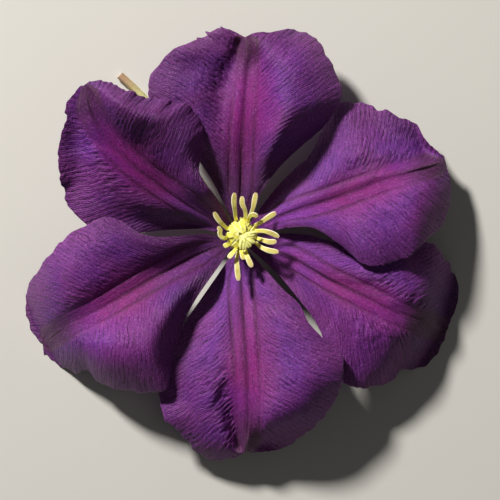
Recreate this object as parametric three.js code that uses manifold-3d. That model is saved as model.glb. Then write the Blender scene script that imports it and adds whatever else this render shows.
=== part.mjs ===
// A single large-flowered garden clematis, picked with a short stalk and laid
// face up. Six tepals lap over each other round a small boss of stamens, and
// the stalk bends under the flower and lies on the surface.
// Millimetres, +Z up, the flower's face looking up along +Z.

import * as THREE from 'three';
import { mergeVertices } from 'three/addons/utils/BufferGeometryUtils.js';
import Module from 'manifold-3d';

const wasm = await Module();
wasm.setup();

// ---------------------------------------------------------------- dimensions

// The flower's axis, placed so that the whole flower's box is centred on the origin.
const flowerAxis = { x: -0.3, y: 1.62 };

// Height of a tepal's upper face over the surface, by distance from the axis:
// it rises from the claw to its crest and droops from there towards the rim.
const claw = { radius: 2.6, height: 6.0 };
const rimRadius = 45;

const bladeDrop = 0.9; // upper face to lower face, measured straight down
const tipCurve = 3.2; // the droop grows with this power of the way from crest to rim
const marginCurve = 4; // the margins roll down with this power of the way across
const fullHalf = { none: 3, all: 14 }; // half widths between which the rolls and waves grow
const foldHalf = { none: 1, all: 7 }; // and those between which the folds do
const foldStart = 0.25; // the folds grow over this share of the way across
const lapRadii = { start: 4, full: 12, fade: 34, end: 44 }; // where the laps begin and end
const bar = { halfWidth: 2.5, widestShare: 0.45, grooveDepth: 0.3 };
const valley = { depth: 1.7, share: 0.42 }; // the hollow along the midrib
const waves = { height: 0.35, count: 5, slant: 0.35, sideShift: 2 };

const gridRows = 19; // across-lines from claw to tip
const gridColumns = 6; // lengthways lines on each side of the midrib

// The stamens spring from a low core with a hole for the styles.
const boss = { x: 0.3, y: 0.5, base: 6.4, radius: 2.3, hole: 1.0, top: 11.4 };
const filament = { width: 0.95, innerWidth: 0.86, thickness: 0.62 };
const styleGap = 0.35; // clear space between the styles' column and the core round it

const stalkRadius = 0.75;
const receptacle = { radius: 2.2, top: 6.0, neck: 3.0 };

// Outlines of the tepals seen from above, in millimetres from the axis. Each
// runs from the claw to the tip: the midrib, the margin on the anticlockwise
// side and the margin on the clockwise side. The crest is where the tepal stands
// highest. The laps say how far each margin is lifted over its neighbour, or lowered
// under it, and the drops how far the tip droops below the crest and each margin
// rolls down. A fold is a broad swelling or dent on one side: the side, where its
// middle lies along and across the tepal, its two half widths, all as shares, and
// how far it lifts.
const tepals = [
  {
    name: 'tepal_1',
    midrib: [[0, 2.6], [0.1, 8], [0.4, 19.5], [1.2, 29.5], [1.6, 35.4], [1, 39.8]],
    anticlockwise: [[-1.2, 2.6], [-2.7, 5.6], [-6, 12], [-10, 17.5], [-15.2, 22.2], [-18.2, 27.6],
      [-17.9, 31.5], [-16.1, 34.6], [-12.6, 37.8], [-7, 40.1], [-4.6, 41.7], [-2, 41.4], [-0.4, 40.6]],
    clockwise: [[1.2, 2.6], [4, 8.4], [7.8, 13.8], [12.8, 18.6], [16.7, 21.9], [20.4, 28],
      [19.6, 31.8], [18.2, 35], [14.8, 39.8], [11.2, 41.5], [6.2, 40.9], [2.6, 40.6]],
    crest: { radius: 29, height: 15.8 },
    laps: [-2.6, 2.3],
    tipDrop: 3,
    marginDrop: [1.6, 4.6],
    wavePhase: 0.4,
    folds: [[0, 0.72, 0.27, 0.32, 0.17, -2.4], [0, 0.72, 0.85, 0.25, 0.4, 2],
      [1, 0.5, 0.42, 0.22, 0.2, 2.2], [1, 0.42, 0.95, 0.2, 0.35, -3.4]],
  },
  {
    name: 'tepal_2',
    midrib: [[2.3, 1.3], [7.4, 3.9], [12.7, 5.8], [20.3, 8.3], [26.2, 10.4], [32, 12.3],
      [41.2, 15.2]],
    anticlockwise: [[1.7, 2.3], [3.4, 4.9], [7, 9.6], [11.2, 13.9], [13.8, 16.2], [16, 20.4],
      [19.4, 26.2], [22, 27.2], [28.4, 25.8], [32.4, 24], [35.2, 22.8], [37.1, 19.7], [39.6, 17.2],
      [41, 16]],
    clockwise: [[2.8, 0.3], [6.4, 1.2], [10, 1.9], [14.6, 1.8], [20, -1.6], [23.9, -5],
      [26, -6], [31.8, -4.7], [37, -1], [40.2, 2.4], [42.2, 7.2], [42.3, 11], [41.5, 13.8]],
    crest: { radius: 26, height: 14.6 },
    laps: [-4.5, 1.6],
    tipDrop: 9.5,
    marginDrop: [1.8, 1.8],
    wavePhase: 1.3,
    folds: [[0, 0.95, 0.6, 0.2, 0.4, -4], [0, 0.62, 0.6, 0.15, 0.35, 0.8],
      [0, 0.7, 0.22, 0.25, 0.15, -0.8]],
  },
  {
    name: 'tepal_3',
    midrib: [[2.4, -1.1], [10, -4], [17.8, -8.4], [25.4, -12.2], [30.8, -15], [37, -17.2], [41.6, -18.9]],
    anticlockwise: [[2.9, -0.2], [7.4, 0.7], [13.8, 0.4], [17.2, -0.6], [21.5, -1.4], [26.4, -1.2],
      [32, -0.4], [36.8, -0.8], [39.6, -2.2], [42.5, -6.4], [44, -10.6], [43.2, -15.8], [42.2, -18]],
    clockwise: [[1.8, -2.2], [7, -6.8], [11.4, -12], [14.6, -16.2], [17, -21], [19.2, -25.6],
      [20.6, -29], [23, -30.2], [27.2, -29.7], [31, -28.4], [32.4, -26.6], [35.2, -26.5],
      [38.2, -25.4], [40.8, -21.6], [41.4, -19.8]],
    crest: { radius: 28, height: 13.8 },
    laps: [-1.7, -1.8],
    tipDrop: 14,
    marginDrop: [1.2, 1.4],
    wavePhase: 2.1,
    folds: [[0, 0.9, 0.7, 0.2, 0.4, -1.8], [1, 0.92, 0.7, 0.12, 0.4, -0.8],
      [1, 0.6, 0.6, 0.2, 0.4, 0.5]],
  },
  {
    name: 'tepal_4',
    midrib: [[0.1, -2.6], [0.2, -9.6], [1, -20.4], [1.5, -27.8], [1.7, -36.8], [1.2, -43]],
    anticlockwise: [[1.3, -2.5], [4.4, -5.8], [8.6, -10.4], [12, -13.6], [13.6, -17], [16.2, -19.8],
      [20, -22.8], [21, -25.8], [20.2, -29.4], [18, -34.6], [14.8, -37.8], [8.8, -42.3], [2.8, -43.2]],
    clockwise: [[-1.1, -2.5], [-3.8, -6.6], [-7.4, -11.8], [-11.1, -17.2], [-13.6, -21.6],
      [-15.6, -27], [-16.4, -31.2], [-15.4, -35.8], [-12, -39.4], [-8.6, -43.2], [-5, -45],
      [-0.6, -44.2]],
    crest: { radius: 26, height: 14.2 },
    laps: [1.5, -3],
    tipDrop: 10,
    marginDrop: [2.2, 1],
    wavePhase: 0.9,
    folds: [[1, 0.82, 0.26, 0.22, 0.16, -3.2], [0, 0.62, 0.6, 0.2, 0.4, 1],
      [0, 0.9, 0.6, 0.12, 0.4, -1.8]],
  },
  {
    name: 'tepal_5',
    midrib: [[-2.3, -1.3], [-7, -2.8], [-12.2, -5.3], [-21.4, -10.6], [-27.2, -14], [-34.8, -17.9],
      [-39.8, -21.4]],
    anticlockwise: [[-1.7, -2.2], [-4.8, -6.6], [-8.8, -12.4], [-11.3, -17.2], [-13.6, -25],
      [-15, -30.4], [-18.4, -31], [-24.4, -30.4], [-28.6, -29], [-30.6, -26.6], [-33.6, -27.4],
      [-37, -26.2], [-39.6, -23.6]],
    clockwise: [[-2.8, -0.3], [-7, 0.6], [-12, 0.2], [-16.4, 0], [-20, 0.8], [-24, 3.4],
      [-27.4, 3.7], [-32.7, 1.3], [-38, -3.4], [-41.8, -8.4], [-43.4, -14.2], [-42.6, -18.2],
      [-40.5, -21]],
    crest: { radius: 26, height: 14.8 },
    laps: [2.3, 1.4],
    tipDrop: 15,
    marginDrop: [2.8, 1.2],
    wavePhase: 1.7,
    folds: [[1, 0.6, 0.75, 0.35, 0.4, 1.3], [0, 0.45, 0.5, 0.25, 0.2, 1.2],
      [0, 0.42, 0.95, 0.22, 0.3, -2.2]],
  },
  {
    name: 'tepal_6',
    midrib: [[-2.3, 1.4], [-5.3, 3], [-9.7, 6], [-16.1, 10.4], [-20.6, 13.6], [-25.6, 18.7],
      [-29.2, 24.2], [-31, 30]],
    anticlockwise: [[-2.8, 0.4], [-7, 1.5], [-13, 1.5], [-18, 1.1], [-22.4, 0.6], [-27.2, 0.8],
      [-31.1, 2.8], [-34, 5.6], [-35.4, 9.8], [-36, 15], [-35.7, 20], [-34.9, 25.1], [-32.9, 28.3],
      [-31.5, 30]],
    clockwise: [[-1.7, 2.3], [-4.2, 7.1], [-8, 12.8], [-7.4, 18.2], [-8, 23], [-10.2, 26.2],
      [-13.4, 27.3], [-18, 27.7], [-22.5, 29.2], [-26, 30.9], [-29.6, 31]],
    crest: { radius: 44, height: 20.5 },
    laps: [-4.6, 3.8],
    tipDrop: 0,
    marginDrop: [1.4, 5.6],
    wavePhase: 2.9,
    folds: [[1, 0.72, 0.6, 0.22, 0.22, 1.6], [0, 0.6, 0.6, 0.3, 0.3, 0.3]],
  },
];

// The stamens that splay out over the claws: direction in degrees, how far the
// tip reaches from the middle of the boss, and how high the tip stands.
const splayedStamens = [
  [100, 8.5, 14.3], [87, 7.6, 14.6], [70, 8.8, 14.7], [44, 6.3, 14.1], [31, 8.1, 14.0],
  [1, 7.5, 14.2], [343, 7.3, 14.6], [328, 8.1, 14.0], [286, 6.8, 14.3], [263, 9.3, 14.1],
  [242, 5.5, 14.5], [212, 4.4, 14.9], [176, 4.9, 14.6], [146, 7.1, 14.3],
];
// The inner stamens stand in rings and curve in over the styles.
const innerRings = [
  { count: 12, root: 1.9, bulge: 2.9, tip: 2.1, rise: 13.6 },
  { count: 9, root: 1.6, bulge: 2.1, tip: 1.3, rise: 14.1 },
];
const styleRing = { count: 5, width: 0.5, spread: 0.62, rise: 14.9 };

// The stalk's route, from inside the receptacle down to the surface and away.
const stalkRoute = [
  [0, 0, 4.4], [-0.15, 0.2, 3.3], [-0.9, 1.2, 2.1], [-2.6, 3.5, 1.2], [-5.6, 7.6, 0.78],
  [-10, 14, 0.75], [-15.6, 22.6, 0.75], [-19.8, 28.4, 0.75], [-24.2, 32.6, 0.75],
];

// ------------------------------------------------------------------- helpers

const clamp01 = (x) => Math.min(1, Math.max(0, x));

function smoothstep(from, to, x) {
  const t = clamp01((x - from) / (to - from));
  return t * t * (3 - 2 * t);
}

// A repeatable random number between 0 and 1.
let seed = 20;
function random() {
  seed = (seed * 16807) % 2147483647;
  return seed / 2147483647;
}

function spacedPoints(outline, rows) {
  const points = outline.map(([x, y]) => new THREE.Vector3(x, y, 0));
  const curve = new THREE.CatmullRomCurve3(points, false, 'centripetal');
  curve.arcLengthDivisions = 400;
  return curve.getSpacedPoints(rows);
}

function positionsOnly(geometry) {
  const bare = geometry.clone();
  bare.deleteAttribute('normal');
  bare.deleteAttribute('uv');
  return mergeVertices(bare, 1e-4);
}

function toManifold(geometry) {
  const bare = positionsOnly(geometry);
  return new wasm.Manifold(new wasm.Mesh({
    numProp: 3,
    vertProperties: new Float32Array(bare.attributes.position.array),
    triVerts: new Uint32Array(bare.index.array),
  }));
}

function fromManifold(solid) {
  const mesh = solid.getMesh();
  const geometry = new THREE.BufferGeometry();
  geometry.setAttribute('position', new THREE.Float32BufferAttribute(mesh.vertProperties, 3));
  geometry.setIndex(Array.from(mesh.triVerts));
  return geometry;
}

function join(geometries) {
  return geometries.map(toManifold).reduce((whole, next) => whole.add(next));
}

function named(name, geometry, color, roughness) {
  geometry.computeVertexNormals();
  const mesh = new THREE.Mesh(geometry, new THREE.MeshStandardMaterial({ color, roughness, metalness: 0 }));
  mesh.name = name;
  return mesh;
}

// -------------------------------------------------------------------- tepals

// Half the bar's width as a share of the tepal's half width here.
const barShare = (half) => Math.min(bar.halfWidth / half, bar.widestShare);

// The height of the upper face at a point: radius from the axis, across from
// midrib (0) to margin (1), half = width of this half of the tepal here, along
// from claw (0) to tip (1). It never sinks the lower face under the surface.
function tepalHeight(tepal, side, radius, across, half, along) {
  const { crest } = tepal;
  const rise = clamp01((radius - claw.radius) / (crest.radius - claw.radius));
  const fall = Math.max(0, (radius - crest.radius) / (rimRadius - crest.radius));
  let z = claw.height + (crest.height - claw.height) * Math.sin((rise * Math.PI) / 2);
  z -= tepal.tipDrop * fall ** tipCurve;

  const lapping = smoothstep(lapRadii.start, lapRadii.full, radius)
    * (1 - smoothstep(lapRadii.fade, lapRadii.end, radius));
  z += tepal.laps[side] * lapping * smoothstep(0.05, 0.75, across);

  const fullness = smoothstep(fullHalf.none, fullHalf.all, half);
  const foldness = smoothstep(foldHalf.none, foldHalf.all, half) * smoothstep(0, foldStart, across);
  z -= tepal.marginDrop[side] * fullness * across ** marginCurve;
  z -= valley.depth * fullness * (1 - smoothstep(0, valley.share, across));
  tepal.folds.forEach(([foldSide, middleAlong, middleAcross, length, width, lift]) => {
    if (foldSide !== side) return;
    const away = ((along - middleAlong) / length) ** 2 + ((across - middleAcross) / width) ** 2;
    z += lift * Math.exp(-away) * foldness;
  });

  // Three grooves: one along the midrib and one along each edge of the bar.
  const fromMidrib = across / barShare(half);
  if (fromMidrib < 1.5) {
    const depth = bar.grooveDepth * smoothstep(bar.halfWidth * 0.8, bar.halfWidth * 2.4, half);
    z -= depth * (0.5 + 0.5 * Math.cos(2 * Math.PI * fromMidrib));
  }

  const phase = tepal.wavePhase + waves.sideShift * side;
  const wave = Math.sin(2 * Math.PI * (waves.count * along + waves.slant * across) + phase);
  z += waves.height * fullness * across ** 2 * wave;
  return Math.max(z, bladeDrop);
}

// How far each lengthways line stands from the midrib, as a share of the half
// width: close together over the ribbed bar, then even out to the margin.
function lineShare(line, half) {
  if (line === 0) return 0;
  const groove = barShare(half);
  if (line <= 2) return (line * groove) / 2;
  return groove + ((1 - groove) * (line - 2)) / (gridColumns - 2);
}

function tepalGeometry(tepal) {
  const midrib = spacedPoints(tepal.midrib, gridRows - 1);
  const margins = [tepal.anticlockwise, tepal.clockwise].map((edge) => spacedPoints(edge, gridRows - 1));
  const columns = 2 * gridColumns + 1;
  const upper = [];
  for (let row = 0; row < gridRows; row += 1) {
    for (let column = -gridColumns; column <= gridColumns; column += 1) {
      const side = column < 0 ? 0 : 1;
      const half = midrib[row].distanceTo(margins[side][row]);
      const across = lineShare(Math.abs(column), half);
      const point = midrib[row].clone().lerp(margins[side][row], across);
      const radius = Math.hypot(point.x, point.y);
      point.z = tepalHeight(tepal, side, radius, across, half, row / (gridRows - 1));
      upper.push(point);
    }
  }

  const lower = upper.map((p) => new THREE.Vector3(p.x, p.y, p.z - bladeDrop));
  const positions = [...upper, ...lower].flatMap((p) => [p.x, p.y, p.z]);
  const under = upper.length;
  const faces = [];
  for (let row = 0; row < gridRows - 1; row += 1) {
    for (let column = 0; column < columns - 1; column += 1) {
      const a = row * columns + column;
      const b = a + 1;
      const c = a + columns;
      const d = c + 1;
      faces.push(a, d, c, a, b, d);
      faces.push(under + a, under + c, under + d, under + a, under + d, under + b);
    }
  }

  const rim = [];
  for (let column = 0; column < columns; column += 1) rim.push(column);
  for (let row = 1; row < gridRows; row += 1) rim.push(row * columns + columns - 1);
  for (let column = columns - 2; column >= 0; column -= 1) rim.push((gridRows - 1) * columns + column);
  for (let row = gridRows - 2; row > 0; row -= 1) rim.push(row * columns);
  rim.forEach((here, index) => {
    const next = rim[(index + 1) % rim.length];
    faces.push(here, under + next, next, here, under + here, under + next);
  });

  const geometry = new THREE.BufferGeometry();
  geometry.setAttribute('position', new THREE.Float32BufferAttribute(positions, 3));
  geometry.setIndex(faces);
  return geometry;
}

// ----------------------------------------------------------- stamens, styles

// A flattened filament with its anther: a bent strip in a plane through the
// axis, given as [distance, height] pairs from root to tip.
function filamentGeometry(route, width, thickness, direction) {
  const points = route.map(([distance, height]) => new THREE.Vector3(distance, 0, height));
  const section = new THREE.Shape();
  section.absellipse(0, 0, width / 2, thickness / 2, 0, 2 * Math.PI);
  const geometry = new THREE.ExtrudeGeometry(section, {
    steps: 4,
    curveSegments: 3,
    extrudePath: new THREE.CatmullRomCurve3(points),
  });
  geometry.rotateZ(THREE.MathUtils.degToRad(direction));
  return geometry;
}

function stamens() {
  const core = new THREE.LatheGeometry([
    new THREE.Vector2(boss.hole, boss.base),
    new THREE.Vector2(boss.radius, boss.base),
    new THREE.Vector2(boss.radius + 0.25, boss.base + 1.1),
    new THREE.Vector2(boss.radius - 0.5, boss.top - 0.3),
    new THREE.Vector2(boss.hole, boss.top),
    new THREE.Vector2(boss.hole, boss.base),
  ], 18);
  core.rotateX(Math.PI / 2);
  const strips = [core];

  splayedStamens.forEach(([direction, reach, rise]) => {
    const route = [
      [1.5, boss.base + 1.4],
      [Math.max(3, reach * 0.4), rise - 1.9],
      [Math.max(3.7, reach * 0.7), rise - 0.4],
      [reach, rise],
    ];
    strips.push(filamentGeometry(route, filament.width, filament.thickness, direction));
  });

  innerRings.forEach((ring, ringNumber) => {
    for (let k = 0; k < ring.count; k += 1) {
      const direction = ((k + 0.5 * ringNumber + 0.3 * random()) * 360) / ring.count;
      const rise = ring.rise + 0.5 * (random() - 0.5);
      const route = [
        [ring.root, boss.base + 1.4],
        [ring.bulge, rise - 1.7],
        [(ring.bulge + ring.tip) / 2 + 0.1, rise - 0.4],
        [ring.tip, rise],
      ];
      strips.push(filamentGeometry(route, filament.innerWidth, filament.thickness, direction));
    }
  });

  const geometry = fromManifold(join(strips));
  geometry.translate(boss.x, boss.y, 0);
  return named('stamens', geometry, '#e2dc7a', 0.6);
}

function pistil() {
  const column = new THREE.LatheGeometry([
    new THREE.Vector2(0, boss.base - 0.05),
    new THREE.Vector2(boss.hole - styleGap, boss.base - 0.05),
    new THREE.Vector2(boss.hole - styleGap, boss.top + 0.2),
    new THREE.Vector2(0, boss.top + 0.9),
  ], 10);
  column.rotateX(Math.PI / 2);
  const strips = [column];
  for (let k = 0; k < styleRing.count; k += 1) {
    const route = [
      [0.2, boss.base + 1.6],
      [0.25, boss.top + 0.6],
      [styleRing.spread, styleRing.rise - 0.3 * random()],
    ];
    strips.push(filamentGeometry(route, styleRing.width, styleRing.width, (k * 360) / styleRing.count));
  }
  const geometry = fromManifold(join(strips));
  geometry.translate(boss.x, boss.y, 0);
  return named('pistil', geometry, '#ece9b4', 0.55);
}

// ------------------------------------------------------- receptacle and stalk

function receptacleAndStalk() {
  const { radius, top, neck } = receptacle;
  const cup = new THREE.LatheGeometry([
    new THREE.Vector2(0, neck),
    new THREE.Vector2(stalkRadius * 1.1, neck),
    new THREE.Vector2(stalkRadius * 1.6, neck + 0.8),
    new THREE.Vector2(radius, top - 1),
    new THREE.Vector2(radius, top),
    new THREE.Vector2(0, top),
  ], 20);
  cup.rotateX(Math.PI / 2);

  const section = new THREE.Shape();
  section.absarc(0, 0, stalkRadius, 0, 2 * Math.PI);
  const stalk = new THREE.ExtrudeGeometry(section, {
    steps: 30,
    curveSegments: 5,
    extrudePath: new THREE.CatmullRomCurve3(stalkRoute.map((p) => new THREE.Vector3(...p))),
  });
  return named('receptacle_and_stalk', fromManifold(join([cup, stalk])), '#a3a56f', 0.6);
}

// ------------------------------------------------------------------ assembly

const flower = new THREE.Group();
tepals.forEach((tepal) => {
  flower.add(named(tepal.name, tepalGeometry(tepal), '#6c357c', 0.55));
});
flower.add(stamens(), pistil(), receptacleAndStalk());
flower.position.set(flowerAxis.x, flowerAxis.y, 0);

export default flower;
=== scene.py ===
"""A clematis flower, picked with a short stalk and laid face up on a pale surface.

Six violet tepals with ribbed magenta bars, a boss of yellow stamens round a tuft
of pale styles, and the receptacle with its downy stalk. Sizes are in millimetres
and become metres when a mesh is made.
"""

import math

import bpy
import numpy as np
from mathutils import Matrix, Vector


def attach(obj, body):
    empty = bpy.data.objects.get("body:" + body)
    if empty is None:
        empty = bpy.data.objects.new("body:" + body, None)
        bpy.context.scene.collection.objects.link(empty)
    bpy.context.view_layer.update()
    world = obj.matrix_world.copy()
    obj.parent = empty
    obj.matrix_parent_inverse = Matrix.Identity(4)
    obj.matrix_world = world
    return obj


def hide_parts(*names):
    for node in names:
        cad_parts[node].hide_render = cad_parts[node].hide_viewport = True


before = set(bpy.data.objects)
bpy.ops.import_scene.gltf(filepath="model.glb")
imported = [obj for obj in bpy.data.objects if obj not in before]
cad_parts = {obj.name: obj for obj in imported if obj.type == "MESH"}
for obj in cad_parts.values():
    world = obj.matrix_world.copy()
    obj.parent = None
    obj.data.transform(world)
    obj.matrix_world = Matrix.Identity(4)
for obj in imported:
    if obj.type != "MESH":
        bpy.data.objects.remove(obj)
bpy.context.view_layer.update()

MM = 0.001
BODY = "root"
CHANCE = np.random.default_rng(20)  # every random draw comes from here, in order

# ------------------------------------------------------------------ sizes, mm

FLOWER_AXIS = np.array([-0.3, 1.62])  # the axis, in the frame of the whole flower

CLAW_RADIUS, CLAW_HEIGHT = 2.6, 6.0
RIM_RADIUS = 45.0
TIP_CURVE = 3.2
MARGIN_CURVE = 4.0
FULL_HALF = (3.0, 14.0)  # half widths between which the rolls and waves grow
FOLD_HALF = (1.0, 7.0)  # and those between which the folds do
FOLD_START = 0.25  # the folds grow over this share of the way across
LAP_RADII = (4.0, 12.0, 34.0, 44.0)  # start, full, fade, end
BAR_HALF, BAR_SHARE, BAR_FADE = 2.5, 0.45, 0.7
# The last width is that of the painted shade along the bar's grooves.
GROOVE_DEPTH, GROOVE_WIDTH, GROOVE_SHADE_WIDTH = 0.3, 0.1, 0.19  # widths as shares of half the bar
VALLEY_DEPTH, VALLEY_SHARE = 1.7, 0.42
WAVE_HEIGHT, WAVE_COUNT, WAVE_SLANT, WAVE_SIDE_SHIFT = 0.35, 5.0, 0.35, 2.0

BLADE_THICK, MARGIN_THICK = 0.34, 0.2
GRID_ROWS, GRID_LINES = 230, 64  # across-lines, and lengthways lines each side
# A side vein runs on towards the tip by its sweep before it meets the margin: by
# the first value up to this share of the length, and by the second at the tip.
VEIN_SWEEP, VEIN_SWEEP_FROM, VEIN_BEND = (18.0, 3.5), 0.4, 0.42
CUSHION_WIDTH, CUSHION_HEIGHT = 1.2, 0.21  # the puckers between side veins
CUSHION_ROUND = 0.06  # how softly two puckers meet at the vein between them
CRINKLE_HEIGHT, CRINKLE_LEAST = 0.22, 0.3  # the small cross-puckers, and their least share
FOLD_HEIGHT = 0.35  # the broader folds near the margins
STRAND_HEIGHT = 0.04  # the fine ridges that run along the bar
# How far the veins wander, in vein spacings, and over what lengths along and outward.
VEIN_WANDER = [(0.45, 3.2, 2.8), (0.12, 1.1, 1.1)]
# The lengths, along and outward, over which the others change.
PATCH_SIZE, PUCKER_SIZE, FOLD_SIZE, STRAND_SIZE = (1.1, 1.3), (0.7, 1.2), (4.2, 7.0), (9.0, 0.45)
CRENATION_WIDTH, CRENATION_DEPTH, TOOTH_DEPTH = 1.7, 0.26, 0.16
NOTCH_WIDTH, NOTCH_DEPTH = 2.6, 0.7
SPIKE_WIDTH, SPIKE_ALONG = 0.5, (0.9, 0.06)  # ragged spikes: width, middle and reach
FLOOR_SOFTNESS = 0.25  # how gently a drooping tip meets the surface, mm squared
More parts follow.
